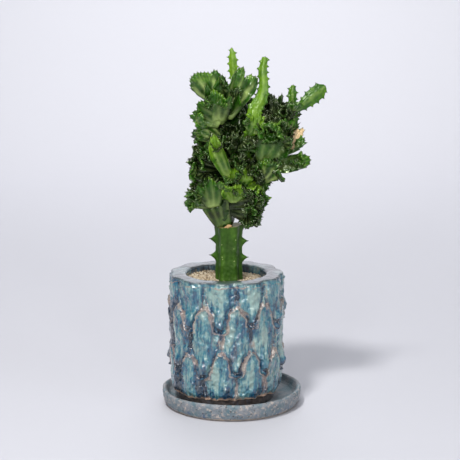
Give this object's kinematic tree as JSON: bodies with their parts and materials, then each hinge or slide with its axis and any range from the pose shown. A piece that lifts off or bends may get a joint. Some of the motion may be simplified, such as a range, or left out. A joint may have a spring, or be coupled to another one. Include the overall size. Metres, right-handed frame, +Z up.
{
  "type": "potted euphorbia",
  "caption": "Crested euphorbia grafted on a thick thorny rootstock, potted with gravel in a heavy scale-relief glazed pot that stands in its own saucer.",
  "frame": {"origin": "middle of the saucer's flat underside", "axes": "+Z up, +X to the right and -Y to the front as the plant is shown"},
  "size_m": [0.1829, 0.159, 0.3981],
  "materials": {
    "saucer_glaze": "satin",
    "pot_glaze": "gloss",
    "soil": "matte",
    "gravel": "matte",
    "rootstock_skin": "satin",
    "crest_skin": "satin",
    "shoot_skin": "satin"
  },
  "bodies": {
    "root": {"crest_trunk": "crest_skin", "fan_back_high": "crest_skin", "fan_back_left": "crest_skin", "fan_back_low": "crest_skin", "fan_back_middle": "crest_skin", "fan_back_right": "crest_skin", "fan_back_top_right": "crest_skin", "fan_bottom": "crest_skin", "fan_bright_left": "crest_skin", "fan_bright_lobe": "crest_skin", "fan_brow": "crest_skin", "fan_centre_small": "crest_skin", "fan_crown_left": "crest_skin", "fan_crown_pale": "crest_skin", "fan_edge_left": "crest_skin", "fan_front_light": "crest_skin", "fan_glossy_right": "crest_skin", "fan_knot_left": "crest_skin", "fan_left_fold": "crest_skin", "fan_left_low": "crest_skin", "fan_left_upper": "crest_skin", "fan_lobe_left": "crest_skin", "fan_lobe_right": "crest_skin", "fan_paddle_low": "crest_skin", "fan_right_low": "crest_skin", "fan_ruffle_centre": "crest_skin", "fan_ruffle_left": "crest_skin", "fan_ruffle_left_up": "crest_skin", "fan_ruffle_low": "crest_skin", "fan_scarred_right": "crest_skin", "fan_spiny_front": "crest_skin", "fan_spiny_right": "crest_skin", "fan_streaked_low": "crest_skin", "fan_top_left": "crest_skin", "fan_under_right": "crest_skin", "gravel_dressing": "gravel", "pot": "pot_glaze", "potting_soil": "soil", "rootstock": "rootstock_skin", "saucer": "saucer_glaze", "shoot_paddle": "shoot_skin", "shoot_right": "shoot_skin", "shoot_tall": "shoot_skin", "shoot_thin": "shoot_skin"}
  },
  "joints": []
}
